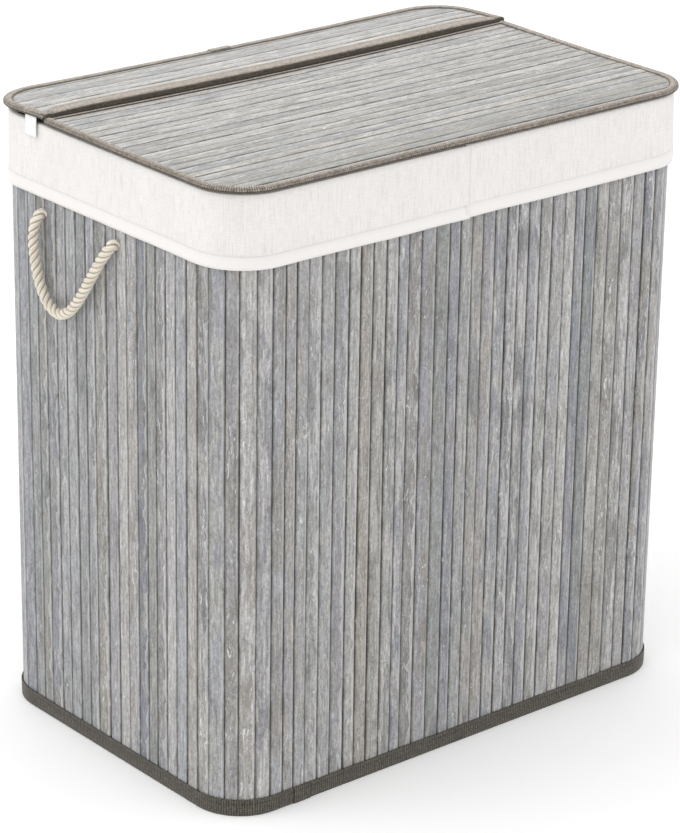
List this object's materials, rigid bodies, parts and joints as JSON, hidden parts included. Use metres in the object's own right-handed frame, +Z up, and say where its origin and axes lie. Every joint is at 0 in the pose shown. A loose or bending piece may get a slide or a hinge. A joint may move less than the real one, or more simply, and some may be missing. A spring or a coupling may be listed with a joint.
{
  "type": "laundry hamper with two bins",
  "caption": "Upright rectangular laundry hamper of bamboo slats with hanging cloth liner bags, a hinged slatted lid and rope handles.",
  "frame": {"origin": "middle of the foot, on the surface that the hamper stands on", "axes": "+Z up, the front with the lid's free edge faces -Y, +X to the right seen from the front"},
  "size_m": [0.59, 0.3803, 0.6202],
  "materials": {
    "bamboo": "weathered grey stain",
    "lid_bamboo": "pale weathered grey stain",
    "binding_tape": "woven cotton tape",
    "base_cloth": "pressed felt",
    "board": "hardboard",
    "liner_cotton": "plain-woven cotton and linen",
    "tab_cloth": "smooth woven tab",
    "rope": "three-strand cotton rope",
    "rod_wood": "sanded beech",
    "socket_plastic": "moulded"
  },
  "bodies": {
    "hamper_body": {"wall_front": "bamboo", "wall_right": "bamboo", "wall_back": "bamboo", "wall_left": "bamboo", "foot_tape": "binding_tape", "base_cloth": "base_cloth", "base_board": "board", "rim_tape": "binding_tape", "liner_left": "liner_cotton", "liner_right": "liner_cotton", "divider_rod": "rod_wood", "rod_socket_front": "socket_plastic", "rod_socket_back": "socket_plastic", "knot_left_back": "rope", "knot_left_front": "rope", "knot_right_back": "rope", "knot_right_front": "rope"},
    "lid_rear": {"rear_tape": "binding_tape", "rear_board": "board", "rear_slats": "lid_bamboo", "hinge_tape": "binding_tape", "tab_left": "tab_cloth", "tab_right": "tab_cloth"},
    "lid_flap": {"flap_tape": "binding_tape", "flap_board": "board", "flap_slats": "lid_bamboo", "hinge_leaf": "binding_tape"},
    "left_handle": {"handle_left": "rope"},
    "right_handle": {"handle_right": "rope"}
  },
  "joints": [
    {"name": "lid_lift", "type": "slide", "parent": "hamper_body", "child": "lid_rear", "axis": [0, 0, 1], "range_m": [0, 0.12]},
    {"name": "flap_hinge", "type": "hinge", "parent": "lid_rear", "child": "lid_flap", "pos_m": [0, 0.08985, 0.6202], "axis": [-1, 0, 0], "range_deg": [0, 180]},
    {"name": "left_handle_swing", "type": "hinge", "parent": "hamper_body", "child": "left_handle", "pos_m": [-0.2852, 0.042, 0.522], "axis": [0, 1, 0], "range_deg": [0, 150]},
    {"name": "right_handle_swing", "type": "hinge", "parent": "hamper_body", "child": "right_handle", "pos_m": [0.2852, 0.042, 0.522], "axis": [0, -1, 0], "range_deg": [0, 150]}
  ]
}
